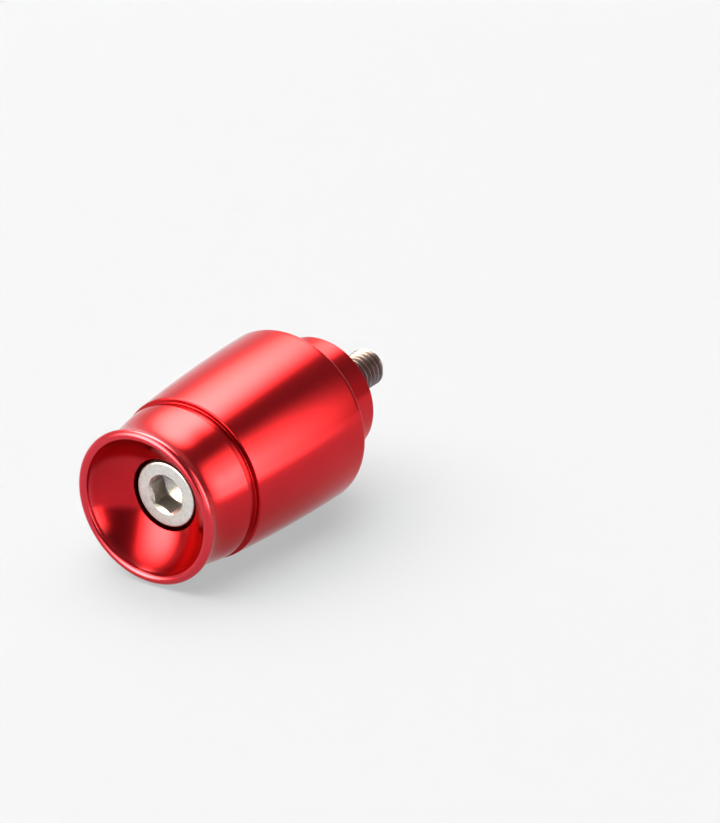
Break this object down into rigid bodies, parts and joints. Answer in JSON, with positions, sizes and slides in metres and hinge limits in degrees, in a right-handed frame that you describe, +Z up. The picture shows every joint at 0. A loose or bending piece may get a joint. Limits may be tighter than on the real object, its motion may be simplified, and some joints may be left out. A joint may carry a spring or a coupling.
{
  "type": "bar end weight",
  "caption": "Turned handlebar end weight with a waisted cup, dished face and socket cap screw along its axis.",
  "frame": {"origin": "middle of the flat seat at the end of the neck, where the weight meets the handlebar", "axes": "+Y along the axis, out of the seat with the screw thread; the dished outer end faces -Y; +Z up"},
  "size_m": [0.0274, 0.0562, 0.0274],
  "materials": {
    "anodised_aluminium": "bright red anodised, finely turned",
    "stainless_screw": "plain stainless, forged head and rolled thread"
  },
  "bodies": {
    "root": {"weight_body": "anodised_aluminium", "socket_head_screw": "stainless_screw"}
  },
  "joints": []
}
